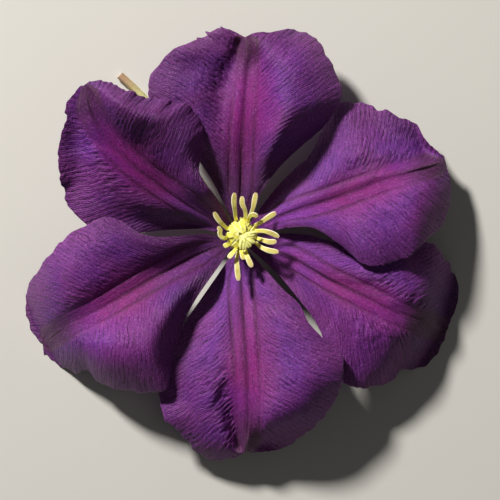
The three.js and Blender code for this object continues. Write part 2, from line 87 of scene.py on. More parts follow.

# Outlines of the tepals seen from above, from the axis. Each runs from the claw
# to the tip: the midrib, the anticlockwise margin and the clockwise margin. Pairs
# are for these two sides, in this order. The crest is a radius and a height, and
# the tip and the margins drop from it. Laps lift a side over or under its
# neighbour. A fold has its side, its place and size along and across, and a lift.
# The base, tip and side shade values are painted shade: they darken a tepal's base, its tip and each
# of its sides, where it lies in shade.
TEPALS = [
    dict(
        node="tepal_1", dusky_base=0.6, dusky_tip=0.2, painted_side_shade=(0.3, 0.05), ragged=(1.1, 0.0),
        midrib=[(0, 2.6), (0.1, 8), (0.4, 19.5), (1.2, 29.5), (1.6, 35.4), (1, 39.8)],
        anticlockwise=[(-1.2, 2.6), (-2.7, 5.6), (-6, 12), (-10, 17.5), (-15.2, 22.2),
                       (-18.2, 27.6), (-17.9, 31.5), (-16.1, 34.6), (-12.6, 37.8), (-7, 40.1),
                       (-4.6, 41.7), (-2, 41.4), (-0.4, 40.6)],
        clockwise=[(1.2, 2.6), (4, 8.4), (7.8, 13.8), (12.8, 18.6), (16.7, 21.9), (20.4, 28),
                   (19.6, 31.8), (18.2, 35), (14.8, 39.8), (11.2, 41.5), (6.2, 40.9), (2.6, 40.6)],
        crest=(29, 15.8), tip_drop=3.0, laps=(-2.6, 2.3), margin_drop=(1.6, 4.6),
        wave_phase=0.4, crinkle=(1.3, 0.6),
        folds=[(0, 0.72, 0.27, 0.32, 0.17, -2.4), (0, 0.72, 0.85, 0.25, 0.4, 2.0),
               (1, 0.5, 0.42, 0.22, 0.2, 2.2), (1, 0.42, 0.95, 0.2, 0.35, -3.4)],
    ),
    dict(
        node="tepal_2", dusky_base=0.0, dusky_tip=0.15, painted_side_shade=(0.1, 0.0), ragged=(0.0, 0.0),
        midrib=[(2.3, 1.3), (7.4, 3.9), (12.7, 5.8), (20.3, 8.3), (26.2, 10.4), (32, 12.3),
                (41.2, 15.2)],
        anticlockwise=[(1.7, 2.3), (3.4, 4.9), (7, 9.6), (11.2, 13.9), (13.8, 16.2), (16, 20.4),
                       (19.4, 26.2), (22, 27.2), (28.4, 25.8), (32.4, 24), (35.2, 22.8),
                       (37.1, 19.7), (39.6, 17.2), (41, 16)],
        clockwise=[(2.8, 0.3), (6.4, 1.2), (10, 1.9), (14.6, 1.8), (20, -1.6), (23.9, -5),
                   (26, -6), (31.8, -4.7), (37, -1), (40.2, 2.4), (42.2, 7.2), (42.3, 11),
                   (41.5, 13.8)],
        crest=(26, 14.6), tip_drop=9.5, laps=(-4.5, 1.6), margin_drop=(1.8, 1.8),
        wave_phase=1.3, crinkle=(1.2, 0.5),
        folds=[(0, 0.95, 0.6, 0.2, 0.4, -4.0), (0, 0.62, 0.6, 0.15, 0.35, 0.8),
               (0, 0.7, 0.22, 0.25, 0.15, -0.8)],
    ),
    dict(
        node="tepal_3", dusky_base=0.0, dusky_tip=0.5, painted_side_shade=(0.0, 0.0), ragged=(0.0, 0.0),
        midrib=[(2.4, -1.1), (10, -4), (17.8, -8.4), (25.4, -12.2), (30.8, -15), (37, -17.2),
                (41.6, -18.9)],
        anticlockwise=[(2.9, -0.2), (7.4, 0.7), (13.8, 0.4), (17.2, -0.6), (21.5, -1.4),
                       (26.4, -1.2), (32, -0.4), (36.8, -0.8), (39.6, -2.2), (42.5, -6.4),
                       (44, -10.6), (43.2, -15.8), (42.2, -18)],
        clockwise=[(1.8, -2.2), (7, -6.8), (11.4, -12), (14.6, -16.2), (17, -21), (19.2, -25.6),
                   (20.6, -29), (23, -30.2), (27.2, -29.7), (31, -28.4), (32.4, -26.6),
                   (35.2, -26.5), (38.2, -25.4), (40.8, -21.6), (41.4, -19.8)],
        crest=(28, 13.8), tip_drop=14.0, laps=(-1.7, -1.8), margin_drop=(1.2, 1.4),
        wave_phase=2.1, crinkle=(1.3, 1.0),
        folds=[(0, 0.9, 0.7, 0.2, 0.4, -1.8), (1, 0.92, 0.7, 0.12, 0.4, -0.8),
               (1, 0.6, 0.6, 0.2, 0.4, 0.5)],
    ),
    dict(
        node="tepal_4", dusky_base=0.0, dusky_tip=0.1, painted_side_shade=(0.05, 0.0), ragged=(0.0, 0.0),
        midrib=[(0.1, -2.6), (0.2, -9.6), (1, -20.4), (1.5, -27.8), (1.7, -36.8), (1.2, -43)],
        anticlockwise=[(1.3, -2.5), (4.4, -5.8), (8.6, -10.4), (12, -13.6), (13.6, -17),
                       (16.2, -19.8), (20, -22.8), (21, -25.8), (20.2, -29.4), (18, -34.6),
                       (14.8, -37.8), (8.8, -42.3), (2.8, -43.2)],
        clockwise=[(-1.1, -2.5), (-3.8, -6.6), (-7.4, -11.8), (-11.1, -17.2), (-13.6, -21.6),
                   (-15.6, -27), (-16.4, -31.2), (-15.4, -35.8), (-12, -39.4), (-8.6, -43.2),
                   (-5, -45), (-0.6, -44.2)],
        crest=(26, 14.2), tip_drop=10.0, laps=(1.5, -3.0), margin_drop=(2.2, 1.0),
        wave_phase=0.9, crinkle=(0.9, 1.2),
        folds=[(1, 0.82, 0.26, 0.22, 0.16, -3.2), (0, 0.62, 0.6, 0.2, 0.4, 1.0),
               (0, 0.9, 0.6, 0.12, 0.4, -1.8)],
    ),
    dict(
        node="tepal_5", dusky_base=0.45, dusky_tip=0.35, painted_side_shade=(0.0, 0.0), ragged=(0.0, 0.0),
        midrib=[(-2.3, -1.3), (-7, -2.8), (-12.2, -5.3), (-21.4, -10.6), (-27.2, -14.0),
                (-34.8, -17.9), (-39.8, -21.4)],
        anticlockwise=[(-1.7, -2.2), (-4.8, -6.6), (-8.8, -12.4), (-11.3, -17.2), (-13.6, -25),
                       (-15, -30.4), (-18.4, -31), (-24.4, -30.4), (-28.6, -29), (-30.6, -26.6),
                       (-33.6, -27.4), (-37, -26.2), (-39.6, -23.6)],
        clockwise=[(-2.8, -0.3), (-7, 0.6), (-12, 0.2), (-16.4, 0), (-20, 0.8), (-24, 3.4),
                   (-27.4, 3.7), (-32.7, 1.3), (-38, -3.4), (-41.8, -8.4), (-43.4, -14.2),
                   (-42.6, -18.2), (-40.5, -21)],
        crest=(26, 14.8), tip_drop=15.0, laps=(2.3, 1.4), margin_drop=(2.8, 1.2),
        wave_phase=1.7, crinkle=(0.8, 0.7),
        folds=[(1, 0.6, 0.75, 0.35, 0.4, 1.3), (0, 0.45, 0.5, 0.25, 0.2, 1.2),
               (0, 0.42, 0.95, 0.22, 0.3, -2.2)],
    ),
    dict(
        node="tepal_6", dusky_base=0.3, dusky_tip=0.15, painted_side_shade=(0.0, 0.3), ragged=(0.0, 0.0),
        midrib=[(-2.3, 1.4), (-5.3, 3), (-9.7, 6.0), (-16.1, 10.4), (-20.6, 13.6),
                (-25.6, 18.7), (-29.2, 24.2), (-31.0, 30.0)],
        anticlockwise=[(-2.8, 0.4), (-7, 1.5), (-13, 1.5), (-18, 1.1), (-22.4, 0.6),
                       (-27.2, 0.8), (-31.1, 2.8), (-34, 5.6), (-35.4, 9.8), (-36, 15),
                       (-35.7, 20), (-34.9, 25.1), (-32.9, 28.3), (-31.5, 30)],
        clockwise=[(-1.7, 2.3), (-4.2, 7.1), (-8, 12.8), (-7.4, 18.2), (-8, 23), (-10.2, 26.2),
                   (-13.4, 27.3), (-18, 27.7), (-22.5, 29.2), (-26, 30.9), (-29.6, 31)],
        crest=(44, 20.5), tip_drop=0.0, laps=(-4.6, 3.8), margin_drop=(1.4, 5.6),
        wave_phase=2.9, crinkle=(1.3, 1.1),
        folds=[(1, 0.72, 0.6, 0.22, 0.22, 1.6), (0, 0.6, 0.6, 0.3, 0.3, 0.3)],
    ),
]

BOSS = np.array([0.3, 0.5])
BOSS_BASE, BOSS_RADIUS = 6.4, 2.3
DOME_SHOULDER, DOME_TOP, DOME_RIBS, DOME_RIB_DEPTH = 11.6, 13.3, 15, 0.25
FILAMENT_WIDTH, FILAMENT_THICK, FILAMENT_CHANNEL = 1.08, 0.5, 0.6
# The stamens that splay out: the height of the tip, and the route seen from above.
SPLAYED = [
    (14.3, [(-0.9, 4.0), (-1.0, 5.1), (-1.2, 7.2), (-1.05, 8.8)]),
    (14.6, [(1.1, 3.8), (1.1, 5.1), (0.5, 6.5), (0.45, 8.1)]),
    (14.7, [(2.1, 4.5), (2.55, 5.5), (2.9, 7.2), (3.2, 8.8)]),
    (14.4, [(1.7, 3.6), (2.1, 4.3), (2.8, 4.45), (3.5, 4.0)]),
    (14.0, [(3.5, 2.6), (4.05, 2.85), (5.7, 3.95), (7.2, 4.85)]),
    (14.5, [(3.3, 1.2), (4.75, 1.2), (6.55, 0.65), (7.8, -0.05)]),
    (14.0, [(3.5, -0.3), (4.8, -0.7), (6.0, -1.0), (7.3, -0.9)]),
    (14.0, [(3.3, -1.25), (4.3, -2.1), (6.15, -2.8), (7.7, -3.0)]),
    (14.3, [(1.1, -2.65), (1.4, -3.75), (1.8, -4.75), (2.4, -6.0)]),
    (13.8, [(0.25, -2.65), (0.45, -3.5), (0.8, -4.5)]),
    (14.1, [(-0.3, -2.9), (-0.6, -4.05), (-0.55, -6.2), (-0.3, -8.7)]),
    (14.5, [(-0.75, -2.35), (-1.45, -3.2), (-2.3, -4.25)]),
    (14.6, [(-1.8, -1.2), (-2.4, -1.5), (-3.25, -1.9)]),
    (14.6, [(-2.2, 0.1), (-3.4, -0.25), (-4.05, 0.6), (-3.9, 1.4), (-4.5, 1.95)]),
    (14.3, [(-2.2, 1.4), (-3.4, 2.4), (-4.4, 3.55), (-5.2, 4.95)]),
]
# Rings of inner stamens: count, root, widest, tip and height.
INNER_RINGS = [
    (12, 2.0, 3.15, 1.5, 13.4), (9, 1.7, 2.6, 0.7, 13.9), (6, 1.2, 1.9, 0.1, 14.2),
]
# The styles fan out to one side of their foot, between two directions in degrees.
# By turns they reach as far as the first and the second of two distances.
STYLE_FOOT = np.array([0.15, -0.1])
STYLE_FAN, STYLE_REACH = (-100.0, 10.0), (2.4, 1.2)
STYLE_COUNT, STYLE_WIDTH = 19, 0.7
STYLE_BEND, STYLE_TOP = 13.4, 14.9  # the heights where they start to fan and end
CORE_TURNS, CORE_RINGS = 120, 40  # the grid of the dome in the middle of the boss

STALK_RADIUS, STALK_RIBS, STALK_RIB_DEPTH = 0.75, 6.0, 0.05
# The hairs: how many to a square millimetre, their length and their root's radius.
DOWN_DENSITY, DOWN_LENGTH, DOWN_RADIUS, DOWN_SEED = 7.0, 0.4, 0.025, 5
DOWN_CLEARANCE = 1.2  # hairs start this many lengths above the surface
STAMEN_SIDES, STYLE_SIDES, STALK_SIDES = 16, 8, 36  # of the swept sections
# The stalk's route from its cut end to the top of the receptacle, with the
# radius there as a multiple of the stalk's own.
STALK_ROUTE = [
    (-24.2, 32.6, 0.78, 1.0), (-19.8, 28.4, 0.78, 1.0), (-15.6, 22.6, 0.78, 1.0),
    (-10, 14, 0.78, 1.0), (-5.6, 7.6, 0.8, 1.0), (-2.6, 3.5, 1.25, 1.0), (-0.9, 1.2, 2.2, 1.05),
    (-0.1, 0.15, 3.4, 1.3), (0, 0, 4.4, 2.0), (0, 0, 5.2, 2.85), (0, 0, 6.0, 2.6),
]

# ------------------------------------------------ picture, in metres and watts

KEY_LIGHT = dict(toward=(-0.46, 0.63, 0.62), distance=0.9, size=0.13, power=12.0,
                 tint=(1.0, 0.97, 0.93))
FILL_LIGHT = dict(toward=(0.3, -0.2, 1.0), distance=1.2, size=1.0, power=0.42,
                  tint=(1.0, 0.98, 0.97))
SKY_STRENGTH, SKY_TINT = 0.048, (1.0, 0.98, 0.97, 1.0)
FLOOR_HALF = 2.0
CAMERA_DISTANCE, CAMERA_LEVEL = 1.2, 0.01  # the level is the flower's middle height
PICTURE_WIDTH, PICTURE_MIDDLE = 0.1, np.array([2.0, -2.6])  # the middle in mm
SENSOR_WIDTH = 36.0

# ------------------------------------------------------------ curves and noise


def smoothstep(start, end, x):
    t = np.clip((x - start) / (end - start), 0.0, 1.0)
    return t * t * (3.0 - 2.0 * t)


def spaced_points(outline, count):
    """Evenly spaced points on a smooth curve through the outline's points."""
    points = np.array(outline, float)
    first = 2 * points[:1] - points[1:2]
    last = 2 * points[-1:] - points[-2:-1]
    points = np.vstack([first, points, last])
    step = np.linspace(0, 1, 40, endpoint=False)[:, None]
    stretches = []
    for p0, p1, p2, p3 in zip(points, points[1:], points[2:], points[3:]):
        before, here, after = (math.sqrt(np.linalg.norm(d)) for d in (p1 - p0, p2 - p1, p3 - p2))
        leave = ((p1 - p0) / before - (p2 - p0) / (before + here) + (p2 - p1) / here) * here
        reach = ((p2 - p1) / here - (p3 - p1) / (here + after) + (p3 - p2) / after) * here
        bend = 3 * (p2 - p1) - 2 * leave - reach
        turn = 2 * (p1 - p2) + leave + reach
        stretches.append(p1 + leave * step + bend * step**2 + turn * step**3)
    dense = np.vstack(stretches + [points[-2:-1]])
    lengths = np.concatenate([[0], np.cumsum(np.linalg.norm(np.diff(dense, axis=0), axis=1))])
    even = np.linspace(0, lengths[-1], count)
    return np.stack([np.interp(even, lengths, column) for column in dense.T], axis=1)


def smooth_noise(u, v, seed):
    """Smooth noise from -1 to 1 with a lattice step of 1 in both directions."""
    lattice = np.random.default_rng(seed).uniform(-1, 1, (256, 256))
    column, row = np.floor(u).astype(int), np.floor(v).astype(int)
    fu, fv = u - column, v - row
    fu, fv = fu * fu * (3 - 2 * fu), fv * fv * (3 - 2 * fv)
    corner = lambda i, j: lattice[(column + i) % 256, (row + j) % 256]
    low = corner(0, 0) * (1 - fu) + corner(1, 0) * fu
    high = corner(0, 1) * (1 - fu) + corner(1, 1) * fu
    return low * (1 - fv) + high * fv


# ---------------------------------------------------------------------- tepals


def across_bar(across, half):
    """How far across the bar a point lies: 0 on the midrib, 1 on the bar's edge."""
    return across / np.minimum(BAR_HALF / half, BAR_SHARE)


def bar_lines(from_midrib, width):
    """1 on the midrib and on the bar's edges, fading over the width."""
    return sum(np.exp(-(((from_midrib - at) / width) ** 2)) for at in (0, 1))


def tepal_height(tepal, side, radius, across, half, along):
    """Height of a tepal's upper face before its fine puckers.

    It is the solid's, except that the bar's grooves fade towards the tip.
    """
    crest_radius, crest_height = tepal["crest"]
    rise = np.clip((radius - CLAW_RADIUS) / (crest_radius - CLAW_RADIUS), 0, 1)
    fall = np.maximum(0, (radius - crest_radius) / (RIM_RADIUS - crest_radius))
    z = CLAW_HEIGHT + (crest_height - CLAW_HEIGHT) * np.sin(rise * math.pi / 2)
    z = z - tepal["tip_drop"] * fall**TIP_CURVE

    start, full, fade, end = LAP_RADII
    lapping = smoothstep(start, full, radius) * (1 - smoothstep(fade, end, radius))
    z = z + tepal["laps"][side] * lapping * smoothstep(0.05, 0.75, across)

    fullness = smoothstep(*FULL_HALF, half)
    z = z - tepal["margin_drop"][side] * fullness * across**MARGIN_CURVE
    z = z - VALLEY_DEPTH * fullness * (1 - smoothstep(0, VALLEY_SHARE, across))
    foldness = smoothstep(*FOLD_HALF, half) * smoothstep(0, FOLD_START, across)
    for fold_side, at_along, at_across, length, width, lift in tepal["folds"]:
        if fold_side == side:
            away = ((along - at_along) / length) ** 2 + ((across - at_across) / width) ** 2
            z = z + lift * np.exp(-away) * foldness

    depth = GROOVE_DEPTH * smoothstep(BAR_HALF * 0.8, BAR_HALF * 2.4, half)
    from_midrib = across_bar(across, half)
    hollow = 0.5 + 0.5 * np.cos(2 * math.pi * from_midrib)
    groove = bar_lines(from_midrib, GROOVE_WIDTH)
    depth = depth * (1 - BAR_FADE * smoothstep(0.6, 0.9, along))
    z = z - np.where(from_midrib < 1.5, depth * (0.45 * hollow + 0.55 * groove), 0)

    phase = tepal["wave_phase"] + WAVE_SIDE_SHIFT * side
    wave = np.sin(2 * math.pi * (WAVE_COUNT * along + WAVE_SLANT * across) + phase)
    return z + WAVE_HEIGHT * fullness * across**2 * wave


def margin_pull(along, length, half, ragged, seed):
    """How far the margin is drawn in or out, as a share of the half width."""
    run = along * length
    wavy = CRENATION_DEPTH * smooth_noise(1.35 * run / CRENATION_WIDTH, 0 * run, seed)
    fine = TOOTH_DEPTH * smooth_noise(3.4 * run / CRENATION_WIDTH, 0 * run, seed + 1)
    notch = smoothstep(0.55, 0.95, smooth_noise(run / NOTCH_WIDTH, 0 * run, seed + 2))
    spike = smoothstep(0.1, 0.8, smooth_noise(run / SPIKE_WIDTH, 0 * run, seed + 3))
    spike = spike * np.exp(-(((along - SPIKE_ALONG[0]) / SPIKE_ALONG[1]) ** 2))
    pull = wavy + fine - NOTCH_DEPTH * notch * smoothstep(0.4, 0.7, along) + ragged * spike
    return pull / half * smoothstep(0.2, 0.5, along)


def tepal_plan(tepal, side, seed):
    """Half a tepal seen from above: its shares, its points and its sizes."""
    along = np.linspace(0, 1, GRID_ROWS)[:, None]
    across = np.linspace(0, 1, GRID_LINES + 1)[None, :]
    midrib = spaced_points(tepal["midrib"], GRID_ROWS)[:, None, :]
    edge = tepal["anticlockwise" if side == 0 else "clockwise"]
    margin = spaced_points(edge, GRID_ROWS)[:, None, :]
    length = np.linalg.norm(np.diff(midrib[:, 0], axis=0), axis=1).sum()
    half = np.linalg.norm(margin - midrib, axis=2)
    pull = margin_pull(along, length, half, tepal["ragged"][side], seed + 1)
    pull = pull * smoothstep(0.6, 1, across)
    plan = midrib + (margin - midrib) * (across * (1 + pull))[:, :, None]
    return along, across, plan, length, half


def tepal_relief(crinkle, along, across, length, half, seed):
    """Puckers, crinkles and folds of half a tepal, and what follows its veins."""
    run = along * length + 0 * across
    outward = across * half
    # The side veins leave the bar at a low angle and bend out to the margin.
    tipward = smoothstep(VEIN_SWEEP_FROM, 1.0, along)
    sweep = VEIN_SWEEP[0] + (VEIN_SWEEP[1] - VEIN_SWEEP[0]) * tipward
    flow = run - sweep * across**VEIN_BEND
    wander = 0
    for number, (far, size, out_size) in enumerate(VEIN_WANDER, start=4):
        wander = wander + far * smooth_noise(run / size, outward / out_size, seed + number)
    phase = flow / CUSHION_WIDTH + wander

    off_bar = smoothstep(0.95, 1.5, across_bar(across, half))
    outer = np.clip(0.7 * along + 0.6 * across - 0.1, 0, 1)
    wall = np.exp(-(((across - 0.3) / 0.2) ** 2)) * smoothstep(0.3, 0.6, along)
    crinkling = crinkle * (0.5 * outer**2 + 0.8 * wall)

    cushion = np.sqrt(np.sin(math.pi * phase) ** 2 + CUSHION_ROUND)
    patchy = 0.52 + 0.48 * smooth_noise(flow / PATCH_SIZE[0], outward / PATCH_SIZE[1], seed + 6)
    pucker = smooth_noise(flow / PUCKER_SIZE[0] + 2 * wander, outward / PUCKER_SIZE[1], seed + 7)
    pucker = np.minimum(1, 2.0 * np.sqrt(pucker**2 + 0.004))
    fold = smooth_noise(flow / FOLD_SIZE[0] + wander, outward / FOLD_SIZE[1], seed + 8)
    strand = smooth_noise(outward / STRAND_SIZE[1], run / STRAND_SIZE[0], seed + 9)

    relief = CUSHION_HEIGHT * (0.38 + 0.25 * outer) * off_bar * patchy * (cushion - 0.6)
    crinkled = np.maximum(crinkling, CRINKLE_LEAST) * off_bar * (pucker - 0.5)
    relief = relief + CRINKLE_HEIGHT * crinkled
    relief = relief + FOLD_HEIGHT * crinkling * fold * smoothstep(*FULL_HALF, half)
    relief = relief + STRAND_HEIGHT * (1 - off_bar) * strand
    # Painted shade in the creases: the colour darkens where the puckers meet and where the crinkles
    # dip.
    painted_crease_shade = off_bar * np.clip((1 - cushion) * patchy + 0.6 * crinkling * (1 - pucker), 0, 1)
    return relief, dict(bar=1 - off_bar + 0 * run, painted_crease_shade=painted_crease_shade, phase=phase, outward=outward)


def tepal_half(tepal, side, seed):
    """One half of a tepal: points, thickness and masks, rows by lines."""
    along, across, plan, length, half = tepal_plan(tepal, side, seed)
    radius = np.linalg.norm(plan, axis=2)
    relief, masks = tepal_relief(tepal["crinkle"][side], along, across, length, half, seed)
    z = tepal_height(tepal, side, radius, across, half, along) + relief

    thick = MARGIN_THICK + (BLADE_THICK - MARGIN_THICK) * (1 - across**4)
    under = z - thick  # the lower face, kept from sinking into the surface
    z = thick + 0.5 * (under + np.sqrt(under * under + FLOOR_SOFTNESS))

    # Painted shade: the base, the tip and a side of the blade are darkened where the tepal lies in
    # shade.
    dusky_ends = tepal["dusky_base"] * (1 - smoothstep(0.15, 0.65, along))
    dusky_ends = dusky_ends + tepal["dusky_tip"] * smoothstep(0.68, 0.9, along)
    painted_side_shade = tepal["painted_side_shade"][side] * smoothstep(0, 0.3, across)
    masks.update(
        groove=bar_lines(across_bar(across, half), GROOVE_SHADE_WIDTH),
        dusk=np.maximum(dusky_ends, painted_side_shade),
        along=along + 0 * across, across=across + 0 * along,
    )
    return np.dstack([plan + FLOWER_AXIS, z]), thick + 0 * along, masks


def join_halves(anticlockwise, clockwise, mirror=1.0):
    """Both halves side by side, with the midrib's line once."""
    return np.concatenate([mirror * anticlockwise[:, :0:-1], clockwise], axis=1)


def blade_faces(rows, lines):
    """Faces of a closed blade: the upper grid, the lower grid and the rim."""
    index = np.arange(rows * lines).reshape(rows, lines)
    under = rows * lines
    corners = index[:-1, :-1], index[:-1, 1:], index[1:, 1:], index[1:, :-1]
    upper = np.stack([corner.ravel() for corner in corners], axis=1)
    rim = np.concatenate([index[0], index[1:, -1], index[-1, -2::-1], index[-2:0:-1, 0]])
    following = np.roll(rim, -1)
    wall = np.stack([rim, rim + under, following + under, following], axis=1)
    return np.vstack([upper, upper[:, ::-1] + under, wall])


def store_values(mesh, name, values):
    """Gives the mesh a named value for each of its points."""
    mesh.attributes.new(name, "FLOAT", "POINT").data.foreach_set("value", values)


def make_tepal(tepal, seed, finish):
    left, right = (tepal_half(tepal, side, seed + 10 * side) for side in (0, 1))
    top = join_halves(left[0], right[0])
    thick = join_halves(left[1], right[1])
    rows, lines = thick.shape
    lower = top - np.dstack([0 * thick, 0 * thick, thick])
    points = np.vstack([top.reshape(-1, 3), lower.reshape(-1, 3)]) * MM
    mesh = bpy.data.meshes.new(tepal["node"])
    mesh.from_pydata(points.tolist(), [], blade_faces(rows, lines).tolist())

    for name in ("bar", "groove", "painted_crease_shade", "dusk", "along", "across"):
        store_values(mesh, name, np.tile(join_halves(left[2][name], right[2][name]).ravel(), 2))
    store_values(mesh, "back", np.repeat([0.0, 1.0], rows * lines))

    phase = join_halves(left[2]["phase"], right[2]["phase"])
    outward = join_halves(left[2]["outward"], right[2]["outward"], -1.0)
    spread = np.stack([phase.ravel(), outward.ravel()], axis=1)
    corners = np.empty(len(mesh.loops), int)
    mesh.loops.foreach_get("vertex_index", corners)
    uv = np.tile(spread, (2, 1))[corners]
    mesh.uv_layers.new(name="veins").data.foreach_set("uv", uv.ravel())
    mesh.shade_smooth()
    mesh.materials.append(finish)
    return add_piece(mesh)


def add_object(name, data):
    made = bpy.data.objects.new(name, data)
    bpy.context.collection.objects.link(made)
    return made


def add_piece(mesh):
    piece = add_object(mesh.name, mesh)
    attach(piece, BODY)
    return piece


# ------------------------------------------------------------------- materials


def colour(red, green, blue):
    """A colour given as on screen, 0 to 255, made linear."""
    channels = [c / 255 for c in (red, green, blue)]
    linear = [c / 12.92 if c <= 0.04045 else ((c + 0.055) / 1.055) ** 2.4 for c in channels]
    return (*linear, 1.0)


class Graph:
    """A node tree with short names for making and joining its nodes."""

    def __init__(self, tree):
        self.tree = tree

    def put(self, socket, value):
        if isinstance(value, bpy.types.NodeSocket):
            self.tree.links.new(value, socket)
        else:
            socket.default_value = value

    def node(self, kind, settings=None, **inputs):
        """A new node. Inputs go by name, or as i0, i1 and so on by place."""
        made = self.tree.nodes.new(kind)
        for key, value in (settings or {}).items():
            setattr(made, key, value)
        for key, value in inputs.items():
            name = key.replace("_", " ")
            self.put(made.inputs[name if name in made.inputs else int(key[1:])], value)
        return made

    def math(self, operation, a, b=0.0):
        return self.node("ShaderNodeMath", {"operation": operation}, i0=a, i1=b).outputs[0]

    def times(self, first, *others):
        for other in others:
            first = self.math("MULTIPLY", first, other)
        return first

    def plus(self, first, *others):
        for other in others:
            first = self.math("ADD", first, other)
        return first


class Finish(Graph):
    """A material of one shader, with the patterns that drive it."""

    def __init__(self, name):
        self.material = bpy.data.materials.new(name)
        self.material.use_nodes = True
        super().__init__(self.material.node_tree)
        self.shader = self.tree.nodes["Principled BSDF"]

    def attribute(self, name):
        return self.node("ShaderNodeAttribute", {"attribute_name": name}).outputs["Fac"]

    def object_place(self):
        return self.node("ShaderNodeTexCoord").outputs["Object"]

    def remap(self, value, low, high, to_low=0.0, to_high=1.0):
        made = self.node("ShaderNodeMapRange", {"interpolation_type": "SMOOTHSTEP"},
                         Value=value, From_Min=low, From_Max=high, To_Min=to_low, To_Max=to_high)
        return made.outputs["Result"]

    def mix(self, factor, a, b):
        return self.node("ShaderNodeMix", {"data_type": "RGBA"}, i0=factor, i6=a, i7=b).outputs[2]

    def noise(self, vector, scale, detail=3.0, roughness=0.55):
        made = self.node("ShaderNodeTexNoise", Vector=vector, Scale=scale, Detail=detail,
                         Roughness=roughness)
        return made.outputs["Fac"]

    def stretched(self, vector, sx, sy):
        return self.node("ShaderNodeMapping", Vector=vector, Scale=(sx, sy, 1.0)).outputs["Vector"]

    def vein(self, counted, per_count, half_width, wander):
        """Thin lines along the side veins: 1 in the middle of a line, 0 off it."""
        bend = self.noise(self.stretched(counted, 1.3, 0.9), 1.0, 2.0)
        count = self.node("ShaderNodeSeparateXYZ", Vector=counted).outputs["X"]
        shift = self.times(self.math("SUBTRACT", bend, 0.5), wander)
        off_line = self.math("PINGPONG", self.plus(self.times(count, per_count), shift), 0.5)
        return self.remap(off_line, half_width, 0.0)

    def bump(self, height, distance, strength):
        made = self.node("ShaderNodeBump", Height=height, Strength=strength, Distance=distance)
        return made.outputs["Normal"]

    def set(self, **inputs):
        for key, value in inputs.items():
            self.put(self.shader.inputs[key.replace("_", " ")], value)


def tepal_colour(f, place, veins, bar, along, across):
    """Violet with lighter and darker streaks, and magenta along the bar."""
    cloud = f.remap(f.noise(place, 90.0, 2.0), 0.35, 0.65)
    streak = f.noise(f.stretched(veins, 1.6, 0.28), 1.0, 3.0)
    skin = f.mix(cloud, colour(112, 44, 148), colour(130, 49, 137))
    skin = f.mix(f.remap(streak, 0.45, 0.72, 0.0, 0.65), skin, colour(150, 67, 167))
    skin = f.mix(f.remap(streak, 0.48, 0.28, 0.0, 0.4), skin, colour(70, 24, 88))
    skin = f.mix(f.times(f.remap(across, 0.4, 1.0), 0.6), skin, colour(122, 54, 122))

    warmth = f.times(f.remap(along, 0.1, 0.5), f.remap(along, 0.6, 0.95, 1.0, 0.15))
    spread = f.times(f.remap(across, 0.02, 0.46, 1.0, 0.0), 0.66)
    magenta = f.math("MAXIMUM", f.times(bar, 0.5), spread)
    magenta = f.times(magenta, f.times(warmth, f.remap(streak, 0.3, 0.6, 0.6, 1.0)))
    skin = f.mix(magenta, skin, colour(152, 24, 114))
    # Painted shade: darker at the bases, the tips and the sides that lie in shade.
    return f.mix(f.attribute("dusk"), skin, colour(52, 38, 46)), cloud


def tepal_finish():
    """Velvety violet, magenta along the ribbed bar, with dark side veins."""
    f = Finish("tepal_violet")
    place = f.object_place()
    veins = f.node("ShaderNodeUVMap", {"uv_map": "veins"}).outputs["UV"]  # count, mm outward
    bar, groove, painted_crease_shade, along, across, back = (
        f.attribute(name) for name in ("bar", "groove", "painted_crease_shade", "along", "across", "back")
    )
    skin, cloud = tepal_colour(f, place, veins, bar, along, across)

    # Side veins every whole count, finer ones between them, strands on the bar, and painted shade in
    # the creases.
    off_bar = f.math("SUBTRACT", 1.0, bar)
    broken = f.remap(f.noise(f.stretched(veins, 1.1, 0.6), 1.0, 2.0), 0.36, 0.6, 0.1, 1.0)
    main = f.times(f.vein(veins, 1.0, 0.26, 1.1), broken, off_bar)
    fine = f.times(f.vein(veins, 2.3, 0.34, 1.8), off_bar)
    strand = f.noise(f.stretched(veins, 0.3, 3.6), 1.0, 3.0, 0.6)
    speck = f.noise(place, 2600.0, 3.0, 0.65)
    dark = f.plus(
        f.times(main, 0.46), f.times(fine, 0.24), f.times(f.remap(painted_crease_shade, 0.35, 1.0), 0.32),
        f.times(f.remap(strand, 0.5, 0.72), bar, 0.45), f.times(f.remap(speck, 0.5, 0.66), 0.35),
    )
    skin = f.mix(f.math("MINIMUM", dark, 0.92), skin, colour(44, 13, 52))

    # Dark lines of painted shade in the bar's grooves, a bar that ends brown, and a paler rim.
    line = f.times(groove, f.remap(along, 0.4, 0.85, 0.7, 0.12), f.remap(strand, 0.3, 0.6, 0.6, 1.0))
    skin = f.mix(line, skin, colour(58, 12, 40))
    brown_end = f.times(bar, f.remap(along, 0.72, 0.92, 0.0, 0.68))
    skin = f.mix(brown_end, skin, colour(66, 34, 46))
    pale_end = f.times(groove, f.remap(along, 0.86, 0.96, 0.0, 0.15))
    skin = f.mix(pale_end, skin, colour(160, 128, 144))
    skin = f.mix(f.times(f.remap(speck, 0.44, 0.32), 0.4), skin, colour(162, 102, 174))
    skin = f.mix(f.times(f.remap(across, 0.985, 1.0), 0.3), skin, colour(138, 96, 138))

    under = f.mix(cloud, colour(128, 92, 150), colour(112, 76, 128))
    under = f.mix(f.times(bar, 0.6), under, colour(146, 134, 118))
    under = f.mix(f.times(main, 0.3), under, colour(92, 60, 104))
    skin = f.mix(back, skin, under)

    grain = f.noise(f.stretched(veins, 3.4, 2.2), 1.0, 4.0, 0.65)
    relief = f.plus(f.times(grain, 1.3), f.times(main, -0.3), f.times(fine, -0.25),
                    f.times(strand, bar, 0.6))
    f.set(Base_Color=skin, Roughness=0.5, Sheen_Weight=0.18, Sheen_Roughness=0.35,
          Sheen_Tint=colour(190, 150, 220), Specular_IOR_Level=0.3,
          Normal=f.bump(relief, 0.00022, 0.75))
    return f.material


